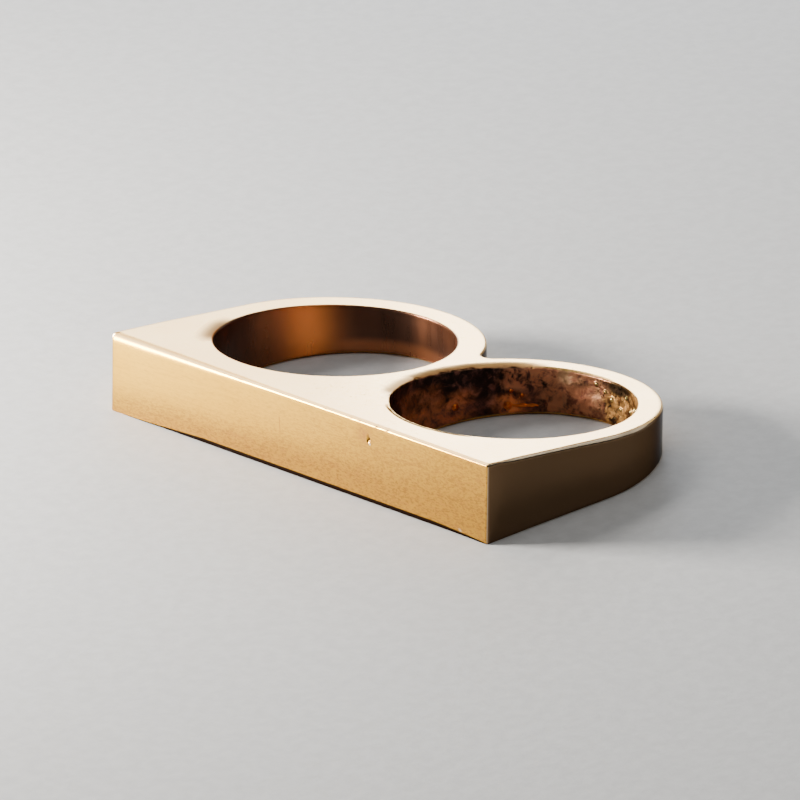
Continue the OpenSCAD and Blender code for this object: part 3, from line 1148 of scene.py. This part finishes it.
world = bpy.data.worlds.new("studio")
bpy.context.scene.world = world
world.use_nodes = True
bg = world.node_tree.nodes["Background"]
bg.inputs[0].default_value = (0.90, 0.95, 1.0, 1)
sky = world.node_tree.nodes.new("ShaderNodeTexCoord").outputs["Generated"]
parts_z = world.node_tree.nodes.new("ShaderNodeSeparateXYZ")
world.node_tree.links.new(sky, parts_z.inputs[0])
ramp = world.node_tree.nodes.new("ShaderNodeMapRange")
ramp.interpolation_type = "SMOOTHSTEP"
for i, q in enumerate((0.02, 0.42, 0.62, 0.06)):
    ramp.inputs[i + 1].default_value = q
world.node_tree.links.new(parts_z.outputs[2], ramp.inputs[0])
world.node_tree.links.new(ramp.outputs[0], bg.inputs[1])


def softbox(name, way, distance, size, watts, colour=(1, 1, 1), spin=0):
    """A soft rectangle of light in the direction `way` from the ring, facing it."""
    way = Vector(way).normalized()
    data = bpy.data.lights.new(name, "AREA")
    data.shape = "RECTANGLE"
    data.size, data.size_y = size
    data.energy = watts
    data.color = colour
    ob = bpy.data.objects.new(name, data)
    ob.location = way * distance
    ob.rotation_mode = "QUATERNION"
    ob.rotation_quaternion = way.to_track_quat("Z", "Y") @ Quaternion(
        (0, 0, 1), math.radians(spin)
    )
    ob.visible_camera = False
    bpy.context.scene.collection.objects.link(ob)
    return ob


softbox("soft_back_left", (-0.79, 0.595, 0.25), 0.50, (0.32, 0.12), 0.68, (0.83, 0.93, 1.04))
softbox("soft_above", (-0.52, 0.65, 0.55), 0.50, (0.18, 0.14), 0.06)
softbox("soft_strip_a", (-0.72, 0.496, 0.479), 0.50, (0.07, 0.28), 0.29, spin=-38)
softbox("soft_strip_b", (-0.72, -0.03, 0.687), 0.50, (0.34, 0.11), 0.82, spin=-7)
softbox("soft_key", (-0.74, -0.60, 0.28), 0.155, (0.055, 0.038), 1.05, (1.0, 0.975, 0.94))
softbox("soft_back", (-0.05, 0.90, 0.42), 0.50, (0.30, 0.12), 0.15)
softbox("soft_top", (0.05, 0.05, 1.0), 0.50, (0.28, 0.28), 0.44)
softbox("soft_near", (-0.653, 0.706, 0.274), 0.153, (0.030, 0.026), 0.021, (0.80, 0.95, 1.18))
softbox("soft_right", (0.29, 0.67, 0.68), 0.50, (0.22, 0.06), 0.17, spin=-40)

# ----------------------------------------------------------------------- camera
AZ, EL, ROLL = math.radians(50.948), math.radians(22.029), math.radians(5.057)
FAR, FOCAL = 0.871680, 12430.2  # metres, and pixels of an 800 pixel frame
PX, PY = 294.623, 476.424  # where the frame shows the point AT
AT = Vector((-MID_X, -MID_Y, 0)) * 0.001
back = Vector(
    (math.sin(AZ) * math.cos(EL), -math.cos(AZ) * math.cos(EL), math.sin(EL))
)
right = Vector((math.cos(AZ), math.sin(AZ), 0))
up_v = back.cross(right)
rc = right * math.cos(ROLL) - up_v * math.sin(ROLL)
uc = right * math.sin(ROLL) + up_v * math.cos(ROLL)
look = (-back * FOCAL + rc * (400 - PX) + uc * (PY - 400)).normalized()
cz = -look
cx = uc.cross(cz).normalized()
cy = cz.cross(cx)
cam_data = bpy.data.cameras.new("camera")
cam_data.sensor_fit = "HORIZONTAL"
cam_data.sensor_width = 36
cam_data.lens = 36 * FOCAL / 800
cam_data.clip_start, cam_data.clip_end = 0.01, 20
cam = bpy.data.objects.new("camera", cam_data)
m = Matrix((cx, cy, cz)).transposed().to_4x4()
m.translation = AT + back * FAR
cam.matrix_world = m
bpy.context.scene.collection.objects.link(cam)
bpy.context.scene.camera = cam

bpy.context.view_layer.update()
